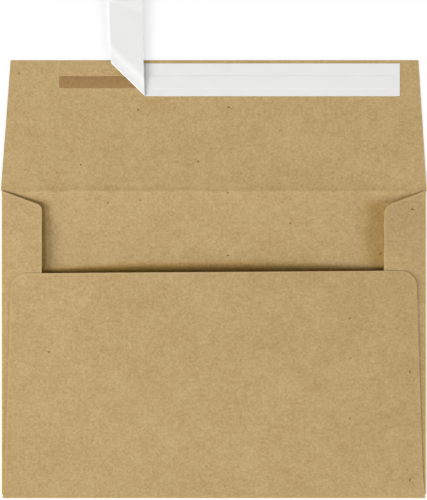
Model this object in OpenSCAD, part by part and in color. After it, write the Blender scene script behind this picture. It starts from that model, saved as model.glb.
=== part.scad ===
// Square-flap kraft envelope, lying on its front with the closing flap open and the throat sprung open.
// The adhesive's release liner is peeled at its left end, folded over itself and standing past the flap.
// Origin: centre of the front panel's outer face. +X right, +Y towards the closing flap, +Z up. Millimetres.

/* [Paper and body] */
// Width across the two side folds
body_w = 184.15; // [150:0.05:240]
// Height from the bottom fold to the crease of the closing flap
body_h = 133.35; // [120:0.05:180]
// Thickness of the kraft paper
paper_t = 0.15; // [0.1:0.01:0.25]
// Clear gap inside a side fold
fold_gap = 0.5; // [0.3:0.05:0.9]

/* [Closing flap] */
// Length from the crease to the straight tip
flap_len = 56.8; // [45:0.1:75]
// How far the flap's root stands past the body on each side
flap_root_over = 0.35; // [0.1:0.05:0.8]
// How much narrower the tip is than the root, on the left
flap_taper_left = 4.2; // [1:0.1:9]
// How much narrower the tip is than the root, on the right
flap_taper_right = 3.6; // [1:0.1:9]
// Width of the raised score line along the crease
crease_w = 2; // [1:0.1:4]
// Height of the raised score line
crease_h = 0.12; // [0.05:0.01:0.3]

/* [Side flaps] */
// Width of the left side flap
side_left_w = 17.4; // [14:0.1:26]
// Width of the right side flap
side_right_w = 18.2; // [14:0.1:26]
// Slope of the side flaps' ends
side_slope = 20.5; // [8:0.5:30]
// Radius of the left side flap's free corners
side_corner_r = 2.6; // [1:0.1:5]
// Radius of the right side flap's free corners
side_right_corner_r = 5.5; // [1:0.1:7]
// Distance from the bottom fold to the start of each side fold
side_fold_relief = 1.2; // [0.6:0.1:4]

/* [Bottom flap] */
// Length of the bottom flap at the left end of the throat
bottom_left_len = 97.6; // [80:0.1:112]
// Length of the bottom flap at the right end of the throat
bottom_right_len = 98.8; // [80:0.1:112]
// Inset of the bottom flap's side edges from the side folds, at the throat
bottom_inset_throat = 4.2; // [2:0.1:8]
// Inset of the same edges just above the bottom fold
bottom_inset_root = 1.3; // [0.6:0.1:3]
// Height of the flare that takes the edges out to the fold
bottom_flare_len = 9.5; // [4:0.5:16]
// Radius of the bottom flap's two throat corners
bottom_corner_r = 7; // [3:0.5:12]

/* [Pocket] */
// How far the back springs away from the front at the middle of the throat
pocket_lift = 4.6; // [3.8:0.1:8]
// Fullness of the pocket across its width, from a round arch to a flat top
pocket_fullness = 2.5; // [2:0.5:6]
// Share of that spring that the side flaps lose between the throat and the crease
pocket_relax = 0.3; // [0:0.05:0.6]

/* [Seams] */
// Width of each gummed seam between a side flap and the bottom flap
gum_w = 9; // [4:0.5:10]
// Margin that the gum keeps from the edges of both flaps
gum_margin = 2.2; // [1:0.1:3]
// Thickness of the dry gum
gum_t = 0.06; // [0.04:0.01:0.12]

/* [Adhesive strip] */
// Width of the peel-and-press adhesive
adhesive_w = 5.2; // [3:0.1:9]
// Thickness of the adhesive
adhesive_t = 0.06; // [0.04:0.01:0.12]
// Distance from the flap's tip to the adhesive
adhesive_tip_gap = 7; // [5:0.1:12]
// Distance from the adhesive's left end to the flap's left root corner
adhesive_left_gap = 25.3; // [12:0.1:40]
// Distance from the adhesive's right end to the flap's right root corner
adhesive_right_gap = 14.4; // [12:0.1:40]

/* [Release liner] */
// Width of the release liner
liner_w = 14.2; // [12:0.1:20]
// Thickness of the release liner
liner_t = 0.08; // [0.05:0.01:0.12]
// How far the liner stands past the adhesive on the side of the flap's tip
liner_tip_over = 5.6; // [1:0.1:6]
// How far the liner stands past the adhesive's right end
liner_right_over = 2.7; // [0.5:0.1:8]
// How far the liner stood past the adhesive's left end before it was peeled
liner_left_over = 4.5; // [0.5:0.1:12]
// Length of the peeled tail along its middle, from the fold to its cut end
tail_len = 34.5; // [26:0.1:60]
// Middle radius of the tail's turned-over fold
tail_fold_r = 0.3; // [0.2:0.05:1]
// Angle by which the folded tail leans to the left
tail_lean = 1.8; // [0:0.1:6]
// Radius at which the tail curls up after its fold
tail_curl_r = 20; // [6:0.5:30]
// Angle of the tail's steepest rise, at the end of its curl
tail_rise = 11; // [8:1:35]
// Radius at which the tail then levels out
tail_level_r = 14; // [6:0.5:20]
// Angle at which the levelled end of the tail still rises
tail_end_rise = 1; // [0:0.5:7]
// Length of the tail's right edge that its bent corner takes
tail_corner_len = 5.4; // [2:0.1:9]
// Angle by which the tail's corner is bent up
tail_corner_bend = 4; // [2:1:50]

/* [Hidden] */
$fn = 64;
// Cells of the grid that carries the sprung back, across and along the body
grid_across = 34;
grid_along = 16;
// Place of the throat on the sine arc along which the back rises from the bottom fold, in degrees
throat_phase = 66;
// Steps in the tail's fold, in its curl and in the bend that levels it
fold_steps = 14;
curl_steps = 9;
level_steps = 7;
// Reach of the cutting outlines above and below the sheet
cut_reach = 30;

// Folds: centre lines and radii
side_fold_r = paper_t + fold_gap / 2;
back_gap = fold_gap + paper_t + gum_t;
bottom_fold_r = paper_t + back_gap / 2;
side_fold_x = body_w / 2 - side_fold_r;
bottom_fold_y = -body_h / 2 + bottom_fold_r;
crease_y = body_h / 2;
side_fold_low_y = bottom_fold_y + side_fold_relief;

// Throat
throat_left_y = -body_h / 2 + bottom_left_len;
throat_right_y = -body_h / 2 + bottom_right_len;
throat_y = (throat_left_y + throat_right_y) / 2;

// Closing flap
flap_root_x = body_w / 2 + flap_root_over;
flap_tip_y = crease_y + flap_len;
crease_arc_r = (pow(crease_w / 2, 2) + pow(crease_h, 2)) / (2 * crease_h);

// Adhesive and liner
adhesive_left_x = -flap_root_x + adhesive_left_gap;
adhesive_right_x = flap_root_x - adhesive_right_gap;
adhesive_top_y = flap_tip_y - adhesive_tip_gap;
liner_right_x = adhesive_right_x + liner_right_over;
liner_len = adhesive_right_x - adhesive_left_x + liner_right_over + liner_left_over;
liner_mid_y = adhesive_top_y + liner_tip_over - liner_w / 2;
liner_mid_z = paper_t + adhesive_t + liner_t / 2;
liner_fold_x = liner_right_x - (liner_len - tail_len);

// Height of the side flaps' underside above the front panel's inner face
function arch(x) = 1 - pow(min(1, abs(x) / side_fold_x), pocket_fullness);
function rise(y) = sin(throat_phase * (y - bottom_fold_y) / (throat_y - bottom_fold_y)) / sin(throat_phase);
function relaxed(share) = 1 - pocket_relax * share * share * (3 - 2 * share);
function past_throat(y) = max(0, (y - throat_y) / (crease_y - throat_y));
function lift(x, y) = fold_gap + pocket_lift * arch(x) * rise(y) * relaxed(past_throat(y));

// Grid lines of the sprung back
function grid_x(i) = -side_fold_x + 2 * side_fold_x * i / grid_across;
function grid_y(j) = bottom_fold_y + (crease_y - bottom_fold_y) * j / grid_along;
function first_cell_x(x) = max(0, floor((x + side_fold_x) / (2 * side_fold_x) * grid_across));
function last_cell_x(x) = min(grid_across, ceil((x + side_fold_x) / (2 * side_fold_x) * grid_across));
function last_cell_y(y) = min(grid_along, ceil((y - bottom_fold_y) / (crease_y - bottom_fold_y) * grid_along));

// The two triangles of a grid cell. The diagonal leans the other way in the right half, so that a layer
// and its mirror image share their facets.
function cell_triangles(c, row, in_left_half) = in_left_half
    ? [[c, c + 1, c + row + 1], [c, c + row + 1, c + row]]
    : [[c, c + 1, c + row], [c + 1, c + row + 1, c + row]];

// A layer of the sprung back: it follows the lift at the given height and thickness, from x0 to x1, up to y1
module back_layer(x0, x1, y1, height, thickness) {
    i0 = first_cell_x(x0);
    ni = last_cell_x(x1) - i0 + 1;
    nj = last_cell_y(y1) + 1;
    count = ni * nj;
    floor_points = [for (j = [0:nj - 1], i = [0:ni - 1])
        let (x = grid_x(i0 + i), y = grid_y(j)) [x, y, height + lift(x, y)]];
    roof_points = [for (p = floor_points) p + [0, 0, thickness]];
    floor_faces = [for (j = [0:nj - 2], i = [0:ni - 2])
        each cell_triangles(j * ni + i, ni, i0 + i < grid_across / 2)];
    roof_faces = [for (f = floor_faces) [f[0] + count, f[2] + count, f[1] + count]];
    rim = concat(
        [for (i = [0:ni - 1]) i],
        [for (j = [1:nj - 1]) j * ni + ni - 1],
        [for (i = [ni - 2:-1:0]) (nj - 1) * ni + i],
        [for (j = [nj - 2:-1:1]) j * ni]
    );
    rim_faces = [for (k = [0:len(rim) - 1])
        let (a = rim[k], b = rim[(k + 1) % len(rim)]) [a, a + count, b + count, b]];
    polyhedron(points = concat(floor_points, roof_points), faces = concat(floor_faces, roof_faces, rim_faces));
}

// Outline whose corners are rounded with true arcs, each tangent to the two edges that it joins
function unit(v) = v / norm(v);
function half_angle(a, b, c) = acos(unit(a - b) * unit(c - b)) / 2;
function corner_cut(a, b, c, r) = r / tan(half_angle(a, b, c));
function corner_centre(a, b, c, r) = b + unit(unit(a - b) + unit(c - b)) * r / sin(half_angle(a, b, c));

module rounded_outline(corners, radii) {
    n = len(corners);
    polygon([for (i = [0:n - 1])
        let (a = corners[(i + n - 1) % n], b = corners[i], c = corners[(i + 1) % n], r = radii[i])
        each (r > 0
            ? [b + unit(a - b) * corner_cut(a, b, c, r), b + unit(c - b) * corner_cut(a, b, c, r)]
            : [b])]);
    for (i = [0:n - 1])
        if (radii[i] > 0)
            translate(corner_centre(corners[(i + n - 1) % n], corners[i], corners[(i + 1) % n], radii[i]))
                circle(r = radii[i]);
}

module cut_through() {
    translate([0, 0, -cut_reach])
        linear_extrude(2 * cut_reach)
            children();
}

// Half ring of paper around a fold that runs along +Y from the origin, with its round side to -X
module fold_ring(outer_r, fold_len) {
    rotate([90, 0, 180])
        linear_extrude(fold_len)
            intersection() {
                difference() {
                    circle(r = outer_r);
                    circle(r = outer_r - paper_t);
                }
                translate([0, -outer_r])
                    square([outer_r, 2 * outer_r]);
            }
}

// Side flap in the left one's place: fold on the left, sloped ends, rounded free corners
module side_flap_outline(width, corner_r) {
    inner_x = -body_w / 2 + width;
    drop = (inner_x + side_fold_x) * tan(side_slope);
    rounded_outline(
        [[-side_fold_x, side_fold_low_y], [inner_x, side_fold_low_y + drop],
         [inner_x, crease_y - drop], [-side_fold_x, crease_y]],
        [0, corner_r, corner_r, 0]
    );
}

module side_flap(width, corner_r) {
    intersection() {
        back_layer(-side_fold_x, -body_w / 2 + width, crease_y, paper_t, paper_t);
        cut_through() side_flap_outline(width, corner_r);
    }
    translate([-side_fold_x, side_fold_low_y, side_fold_r])
        fold_ring(side_fold_r, crease_y - side_fold_low_y);
}

// Bottom flap: flared root, tapered sides and a slightly skewed throat edge with rounded corners
module bottom_flap_outline() {
    throat_x = body_w / 2 - bottom_inset_throat;
    root_x = body_w / 2 - bottom_inset_root;
    flare_y = bottom_fold_y + bottom_flare_len;
    rounded_outline(
        [[-side_fold_x, bottom_fold_y], [side_fold_x, bottom_fold_y], [root_x, flare_y],
         [throat_x, throat_right_y], [-throat_x, throat_left_y], [-root_x, flare_y]],
        [0, 0, 0, bottom_corner_r, bottom_corner_r, 0]
    );
}

module bottom_flap() {
    intersection() {
        back_layer(
            -side_fold_x, side_fold_x, max(throat_left_y, throat_right_y), 2 * paper_t + gum_t, paper_t
        );
        cut_through() bottom_flap_outline();
    }
    translate([side_fold_x, bottom_fold_y, bottom_fold_r])
        rotate([0, 0, 90])
            fold_ring(bottom_fold_r, 2 * side_fold_x);
}

module front_panel() {
    translate([-side_fold_x, bottom_fold_y, 0])
        cube([2 * side_fold_x, crease_y - bottom_fold_y, paper_t]);
}

// Score line: the sheet rises over a shallow arc and keeps its thickness
module crease() {
    translate([-flap_root_x, crease_y + crease_w / 2, crease_h - crease_arc_r])
        rotate([90, 0, 90])
            linear_extrude(2 * flap_root_x)
                intersection() {
                    difference() {
                        translate([0, paper_t])
                            circle(r = crease_arc_r);
                        circle(r = crease_arc_r);
                    }
                    translate([-crease_w / 2, 0])
                        square([crease_w, crease_arc_r + 2 * paper_t]);
                }
}

module closing_flap() {
    linear_extrude(paper_t)
        polygon([
            [-flap_root_x, crease_y + crease_w],
            [flap_root_x, crease_y + crease_w],
            [flap_root_x - flap_taper_right, flap_tip_y],
            [-flap_root_x + flap_taper_left, flap_tip_y]
        ]);
}

// The whole blank, cut and folded from one sheet
module envelope_sheet() {
    color("#bd9f72")
        union() {
            front_panel();
            crease();
            closing_flap();
            side_flap(side_left_w, side_corner_r);
            mirror([1, 0, 0]) side_flap(side_right_w, side_right_corner_r);
            bottom_flap();
        }
}

// Gum band in the left one's place, clear of the edges of both flaps
module seam_gum(width, throat_end_y) {
    inner_x = -body_w / 2 + width - gum_margin;
    end_drop = width * tan(side_slope) + gum_margin;
    intersection() {
        back_layer(inner_x - gum_w, inner_x, throat_end_y, 2 * paper_t, gum_t);
        cut_through()
            translate([inner_x - gum_w, side_fold_low_y + end_drop])
                square([gum_w, throat_end_y - gum_margin - side_fold_low_y - end_drop]);
    }
}

module seam_gum_left() {
    color("#d8c9a6")
        seam_gum(side_left_w, min(throat_left_y, throat_right_y));
}

module seam_gum_right() {
    color("#d8c9a6")
        mirror([1, 0, 0]) seam_gum(side_right_w, min(throat_left_y, throat_right_y));
}

module adhesive_strip() {
    color("#a5825a")
        translate([adhesive_left_x, adhesive_top_y - adhesive_w, paper_t])
            cube([adhesive_right_x - adhesive_left_x, adhesive_w, adhesive_t]);
}

// The liner is a straight strip bent about parallel lines at close to 45 degrees, so that its tail turns
// from -X to +Y. Across the fold the section runs along the strip, around the fold, up the curl and level
// again. `path` gives the distance gone from the start of the fold: the section's [outward, height] and
// its direction follow.
fold_angle = 45 - tail_lean / 2;
fold_start = tail_fold_r + liner_t / 2;
fold_path = tail_fold_r * PI;
curl_path = tail_curl_r * tail_rise * PI / 180;
level_path = tail_level_r * (tail_rise - tail_end_rise) * PI / 180;

function section_angle(path) =
    path <= 0 ? 180
    : path < fold_path ? 180 - 180 * path / fold_path
    : path < fold_path + curl_path ? tail_rise * (path - fold_path) / curl_path
    : tail_rise - (tail_rise - tail_end_rise) * min(1, (path - fold_path - curl_path) / level_path);

function section_point(path) =
    path <= fold_path
    ? let (turn = 180 * max(0, path) / fold_path)
        [fold_start - min(0, path) - tail_fold_r * sin(turn), tail_fold_r * (1 - cos(turn))]
    : let (
        angle = section_angle(path),
        curl = path < fold_path + curl_path ? angle : tail_rise,
        past = max(0, path - fold_path - curl_path - level_path)
    )
        [fold_start + tail_curl_r * sin(curl) + tail_level_r * (sin(curl) - sin(angle)) + past * cos(angle),
         2 * tail_fold_r + tail_curl_r * (1 - cos(curl)) + tail_level_r * (cos(angle) - cos(curl))
         + past * sin(angle)];

// Distances gone by a point that lies `along` the strip from the fold's middle and `across` from its middle
function strip_path(along, across) = fold_start + along * sin(fold_angle) - across * cos(fold_angle);
function strip_slide(along, across) = along * cos(fold_angle) + across * sin(fold_angle);

// From the section's place and the slide along the fold line to a point in space
function fold_frame(outward, slide, height) = [
    liner_fold_x + outward * sin(fold_angle) - slide * cos(fold_angle),
    liner_mid_y + outward * cos(fold_angle) + slide * sin(fold_angle),
    liner_mid_z + height
];
function fold_normal(path) =
    let (angle = section_angle(path))
    [-sin(angle) * sin(fold_angle), -sin(angle) * cos(fold_angle), cos(angle)];
function strip_point(along, across) =
    let (path = strip_path(along, across), place = section_point(path))
    fold_frame(place[0], strip_slide(along, across), place[1]);

// Stations from the liner's right end to the crease of the bent corner: each is a pair of points on the
// strip's two edges, as [along, across]. Between them the stations lie on the lines of the fold.
function station(path) = [
    for (across = [-liner_w / 2, liner_w / 2])
        [(path - fold_start + across * cos(fold_angle)) / sin(fold_angle), across]
];
fold_stations = [for (k = [0:fold_steps]) station(fold_path * k / fold_steps)];
curl_stations = [for (k = [1:curl_steps]) station(fold_path + curl_path * k / curl_steps)];
level_stations = [for (k = [1:level_steps]) station(fold_path + curl_path + level_path * k / level_steps)];
liner_stations = concat(
    [[for (across = [-liner_w / 2, liner_w / 2]) [tail_len - liner_len, across]]],
    fold_stations,
    curl_stations,
    level_stations,
    [[[tail_len - tail_corner_len, -liner_w / 2], [tail_len, liner_w / 2]]]
);

// A vector turned about a unit axis
function turned(v, axis, angle) =
    v * cos(angle) + cross(axis, v) * sin(angle) + axis * (axis * v) * (1 - cos(angle));

module release_liner() {
    n = len(liner_stations);
    last = liner_stations[n - 1];
    crease_from = strip_point(last[1][0], last[1][1]);
    crease_to = strip_point(last[0][0], last[0][1]);
    crease_axis = unit(crease_to - crease_from);
    tail_normal = fold_normal(fold_path + curl_path + level_path);
    corner = strip_point(tail_len, -liner_w / 2);
    bent_corner = crease_from + turned(corner - crease_from, crease_axis, tail_corner_bend);
    bent_normal = turned(tail_normal, crease_axis, tail_corner_bend);
    shell = concat(
        [for (pair = liner_stations, side = [-1, 1], p = pair)
            strip_point(p[0], p[1]) + fold_normal(strip_path(p[0], p[1])) * side * liner_t / 2],
        [for (side = [-1, 1]) bent_corner + bent_normal * side * liner_t / 2]
    );
    tip = 4 * n;
    end = 4 * (n - 1);
    color("#e9e8e6")
        polyhedron(
            points = shell,
            faces = concat(
                [[0, 1, 3], [0, 3, 2]],
                [for (k = [0:n - 2]) each [
                    [4 * k, 4 * k + 5, 4 * k + 1],
                    [4 * k, 4 * k + 4, 4 * k + 5],
                    [4 * k + 2, 4 * k + 3, 4 * k + 7],
                    [4 * k + 2, 4 * k + 7, 4 * k + 6],
                    [4 * k, 4 * k + 2, 4 * k + 6],
                    [4 * k, 4 * k + 6, 4 * k + 4],
                    [4 * k + 1, 4 * k + 7, 4 * k + 3],
                    [4 * k + 1, 4 * k + 5, 4 * k + 7]
                ]],
                [
                    [end, tip, end + 1],
                    [end + 2, end + 3, tip + 1],
                    [end, end + 2, tip + 1],
                    [end, tip + 1, tip],
                    [end + 1, tip + 1, end + 3],
                    [end + 1, tip, tip + 1]
                ]
            )
        );
}

envelope_sheet();
seam_gum_left();
seam_gum_right();
adhesive_strip();
release_liner();
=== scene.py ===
"""Square-flap kraft envelope, lying on its front with its closing flap open and its throat sprung open.

The sheet and the release liner are built flat, as cut, and then folded by node trees whose inputs are their
sizes. Lengths are metres, in the frame's own axes: +X right, +Y towards the closing flap, +Z up.
"""
import math
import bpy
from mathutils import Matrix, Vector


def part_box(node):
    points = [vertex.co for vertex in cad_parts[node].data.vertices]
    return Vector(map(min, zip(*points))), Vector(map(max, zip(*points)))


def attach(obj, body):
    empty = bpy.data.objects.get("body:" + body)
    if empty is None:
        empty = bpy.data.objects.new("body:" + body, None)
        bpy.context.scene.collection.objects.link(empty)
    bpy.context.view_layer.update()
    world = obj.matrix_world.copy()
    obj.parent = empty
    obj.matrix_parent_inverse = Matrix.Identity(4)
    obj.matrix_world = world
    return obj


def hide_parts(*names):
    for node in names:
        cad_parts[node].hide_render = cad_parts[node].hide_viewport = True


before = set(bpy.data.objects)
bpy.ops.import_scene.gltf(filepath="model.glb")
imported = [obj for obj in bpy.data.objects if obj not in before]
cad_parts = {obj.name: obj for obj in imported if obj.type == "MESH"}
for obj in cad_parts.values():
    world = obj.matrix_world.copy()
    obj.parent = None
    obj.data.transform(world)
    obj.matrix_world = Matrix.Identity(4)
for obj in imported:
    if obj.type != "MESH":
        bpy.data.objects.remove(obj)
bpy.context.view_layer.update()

from types import SimpleNamespace

import bpy
from bpy.props import FloatProperty, FloatVectorProperty, PointerProperty
from bpy.types import Operator, Panel, PropertyGroup
from mathutils import Vector

bl_info = {
    "name": "Kraft Envelope",
    "version": (1, 0, 0),
    "blender": (4, 5, 0),
    "location": "View3D > Sidebar > Envelope",
    "description": "Builds a square-flap kraft envelope with its peel-and-press strip, and a plain stage",
    "category": "Object",
}

MM = 0.001
SHEET_LOW, SHEET_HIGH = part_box("envelope_sheet")
FILM_LOW, FILM_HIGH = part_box("adhesive_strip")
LINER_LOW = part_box("release_liner")[0]
SHARP_ANGLE = math.radians(35)  # a finished piece is smooth where its faces turn by less than this

# Attributes of a piece's points
PLACE = "blank_place"  # place on the flat sheet or strip, before it is folded
PAST_SIDE = "past_side_fold"  # how far past the start of a side fold
PAST_BOTTOM = "past_bottom_fold"  # how far past the start of the bottom fold
EDGE_GAP = "edge_gap"  # distance to the nearest cut edge
INSIDE = "inside_face"  # 1 on the sheet's upper faces, 0 on its lower ones

# Points of the flat sheet: how far apart they lie, how wide the rows along its tip and its throat are, and
# how many steps its folds and its corners have
SHEET_STEP, THROAT_STEP, SCORE_STEP = 1.7 * MM, 1.9 * MM, 0.15 * MM
SHEET_RIM = 0.3 * MM
FLARE_SHARE_STEP, FLAP_SHARE_STEP = 0.018, 0.0175
FOLD_ROWS, THROAT_ARC, SIDE_ARC = 14, 12, 8

# Points of the flat liner: the same, and the fine rows over its relief, where it steps down past the
# adhesive's edges
LINER_STEP, FLAT_STEP, TAIL_STEP, LINER_RIM = 0.9 * MM, 1.6 * MM, 0.8 * MM, 0.25 * MM
RELIEF_STEP, RELIEF_IN, RELIEF_OUT = 0.1 * MM, 0.15 * MM, 0.45 * MM
CLEAR_IN, CLEAR_OUT = 0.4 * MM, 0.6 * MM
FOLD_LINES, CURL_LINES, LEVEL_LINES, CORNER_LINES = 26, 16, 14, 8
RELIEF_WIDTH = 0.4 * MM

# Tones that kraft is multiplied by: outside, painted warm shade in the side flaps' shadows and under them,
# and painted warm shade where the bottom flap shades the throat
OUTER_TONE = (0.96, 0.96, 0.96, 1.0)
PAINTED_FLAP_SHADE_TONE = (1.03, 0.92, 0.55, 1.0)
PAINTED_THROAT_SHADE_TONE = (1.10, 0.95, 0.46, 1.0)
TONE_POWERS = (0.8, 1.0, 1.85)  # how strongly a lighter or darker pulp changes red, green and blue

# Directions in which an offset moves a pattern, so that no two layers of it are alike
NOISE_SHIFT, FLECK_SHIFT = (1.0, 0.37, 0.71), (1.0, 0.61, 0.0)

# The stage
WHITE = (1.0, 1.0, 1.0, 1.0)
FLOOR_REACH, FLOOR_LEVEL, FLOOR_GLOW = 6.0, -0.02 * MM, 1.18
LIT_SPOT = Vector((0.0, 20 * MM, 0.0))
KEY_FROM, KEY_DISTANCE, KEY_ANGLE = (-0.75, -0.62, 1.0), 2.0, math.radians(18)
LEFT_FROM, RIGHT_FROM, SOFTBOX_DISTANCE = (-2.6, -0.6, 1.0), (3.1, -0.6, 1.0), 1.5
SOFTBOX_WIDTH, LEFT_DEPTH, RIGHT_DEPTH = 0.5, 0.6, 0.8
SENSOR_WIDTH, CLIP_START, CLIP_END = 36.0, 0.1, 50.0


def linked(name, data):
    """A new object of that name, in the scene."""
    made = bpy.data.objects.new(name, data)
    bpy.context.scene.collection.objects.link(made)
    return made


# Node graphs


def operator(operation, reflected=False):
    """A method that joins a wire and another wire or number in one Math node."""
    def apply(self, other):
        return self.graph.maths(operation, *((other, self) if reflected else (self, other)))
    return apply


def function(operation):
    """A method that puts a wire through one Math node."""
    return lambda self: self.graph.maths(operation, self)


class Wire:
    """An output socket. Sums, products and so on of wires and numbers add the Math nodes they need."""

    __add__ = operator("ADD")
    __radd__ = operator("ADD", reflected=True)
    __sub__ = operator("SUBTRACT")
    __rsub__ = operator("SUBTRACT", reflected=True)
    __mul__ = operator("MULTIPLY")
    __rmul__ = operator("MULTIPLY", reflected=True)
    __truediv__ = operator("DIVIDE")
    __pow__ = operator("POWER")
    at_least = operator("MAXIMUM")
    at_most = operator("MINIMUM")
    above = operator("GREATER_THAN")
    below = operator("LESS_THAN")
    __abs__ = function("ABSOLUTE")
    sin = function("SINE")
    cos = function("COSINE")
    sign = function("SIGN")

    def __init__(self, graph, socket):
        self.graph = graph
        self.socket = socket

    def __neg__(self):
        return self * -1.0

    def clamped(self):
        return self.at_least(0.0).at_most(1.0)

    def outputs(self, *keys):
        """Wires from the named outputs of the node that this wire comes from."""
        return [Wire(self.graph, find_socket(self.socket.node.outputs, key)) for key in keys]


def find_socket(sockets, key):
    """The socket with that identifier, or else with that name or number."""
    if isinstance(key, int):
        return sockets[key]
    for socket in sockets:
        if socket.identifier == key:
            return socket
    return sockets[key]


class Graph:
    """A node tree that is written as expressions."""

    def __init__(self, tree):
        self.tree = tree

    def node(self, kind, settings=None, links=None, output=0):
        """Adds a node: its settings first, then the values or wires of its sockets."""
        made = self.tree.nodes.new(kind)
        for name, value in (settings or {}).items():
            setattr(made, name, value)
        for name, value in (links or {}).items():
            socket = find_socket(made.inputs, name)
            if isinstance(value, Wire):
                self.tree.links.new(value.socket, socket)
            else:
                socket.default_value = value
        return Wire(self, find_socket(made.outputs, output))

    def maths(self, operation, *values):
        return self.node("ShaderNodeMath", {"operation": operation}, dict(enumerate(values)))

    def vector(self, operation, *values):
        settings = {"operation": operation}
        return self.node("ShaderNodeVectorMath", settings, dict(enumerate(values)), "Vector")

    def join(self, x, y, z):
        return self.node("ShaderNodeCombineXYZ", None, {"X": x, "Y": y, "Z": z})

    def split(self, vector):
        return self.node("ShaderNodeSeparateXYZ", None, {"Vector": vector}).outputs("X", "Y", "Z")

    def step(self, value, low, high):
        """0 below low, 1 above high, and smooth between. Low may lie above high, which turns it round."""
        links = {"Value": value, "From Min": low, "From Max": high}
        return self.node("ShaderNodeMapRange", {"interpolation_type": "SMOOTHSTEP"}, links)

    def blend(self, factor, first, second, kind="MIX"):
        """Mixes two colours."""
        return self.node(
            "ShaderNodeMix",
            {"data_type": "RGBA", "blend_type": kind, "clamp_factor": True},
            {"Factor_Float": factor, "A_Color": first, "B_Color": second},
            "Result_Color",
        )

    def noise(self, place, size, detail, roughness, offset=0.0):
        """Smooth noise from 0 to 1, with patches of about the given size."""
        moved = self.vector("ADD", place, tuple(offset * part for part in NOISE_SHIFT))
        return self.node(
            "ShaderNodeTexNoise",
            {"noise_dimensions": "3D"},
            {"Vector": moved, "Scale": 1.0 / size, "Detail": detail, "Roughness": roughness},
            "Fac",
        )

    def seen(self):
        """1 for the rays of the camera, of gloss and of clear things, 0 for those that light the scene."""
        camera = self.node("ShaderNodeLightPath", None, None, "Is Camera Ray")
        gloss, clear = camera.outputs("Is Glossy Ray", "Is Transmission Ray")
        return camera.at_least(gloss).at_least(clear)


class Folding(Graph):
    """A geometry tree that shapes one mesh, with an input for each of the named sizes."""

    def __init__(self, name, sizes):
        super().__init__(bpy.data.node_groups.new(name, "GeometryNodeTree"))
        sockets = self.tree.interface
        sockets.new_socket("Geometry", in_out="INPUT", socket_type="NodeSocketGeometry")
        sockets.new_socket("Geometry", in_out="OUTPUT", socket_type="NodeSocketGeometry")
        self.sizes = sizes
        self.identifiers = {}
        for size in sizes:
            label = size.replace("_", " ").capitalize()
            made = sockets.new_socket(label, in_out="INPUT", socket_type="NodeSocketFloat")
            self.identifiers[size] = made.identifier
        self.mesh = self.node("NodeGroupInput")
        self.given = SimpleNamespace(**dict(zip(sizes, self.mesh.outputs(*self.identifiers.values()))))
        self.place = self.node("GeometryNodeInputPosition")

    def attribute(self, name):
        settings = {"data_type": "FLOAT"}
        return self.node("GeometryNodeInputNamedAttribute", settings, {"Name": name}, "Attribute")

    def store(self, geometry, name, value, kind="FLOAT"):
        return self.node(
            "GeometryNodeStoreNamedAttribute",
            {"data_type": kind, "domain": "POINT"},
            {"Geometry": geometry, "Name": name, "Value": value},
        )

    def measured(self):
        """The flat mesh, which keeps each point's place and distance to the cut edge, and that distance."""
        faces = self.node("GeometryNodeInputMeshEdgeNeighbors")
        differs = {"data_type": "INT", "operation": "NOT_EQUAL"}
        inner = self.node("FunctionNodeCompare", differs, {2: faces, 3: 1})
        outline = self.node(
            "GeometryNodeDeleteGeometry", {"domain": "EDGE", "mode": "EDGE_FACE"},
            {"Geometry": self.mesh, "Selection": inner},
        )
        gap = self.node("GeometryNodeProximity", {"target_element": "EDGES"}, {0: outline}, "Distance")
        kept = self.store(self.mesh, PLACE, self.place, "FLOAT_VECTOR")
        return self.store(kept, EDGE_GAP, gap), gap

    def move(self, geometry, **how):
        return self.node("GeometryNodeSetPosition", None, {"Geometry": geometry, **how})

    def close(self, geometry, material):
        realized = self.node("GeometryNodeRealizeInstances", None, {"Geometry": geometry})
        dressed = self.node("GeometryNodeSetMaterial", None, {"Geometry": realized, "Material": material})
        last = self.tree.nodes.new("NodeGroupOutput")
        self.tree.links.new(dressed.socket, last.inputs[0])
        return self

    def put_on(self, piece):
        """Gives the piece this tree, with its inputs set by identifier."""
        modifier = piece.modifiers.new(self.tree.name, "NODES")
        modifier.node_group = self.tree
        for size, identifier in self.identifiers.items():
            modifier[identifier] = float(self.sizes[size])


# Materials


def tinted(colour, factor):
    return tuple(min(1.0, part * factor) for part in colour) + (1.0,)


def toned(colour, factor):
    """Kraft made lighter or darker as its pulp is: green by the factor, blue by more and red by less."""
    return tuple(min(1.0, part * factor ** power) for part, power in zip(colour, TONE_POWERS)) + (1.0,)


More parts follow.
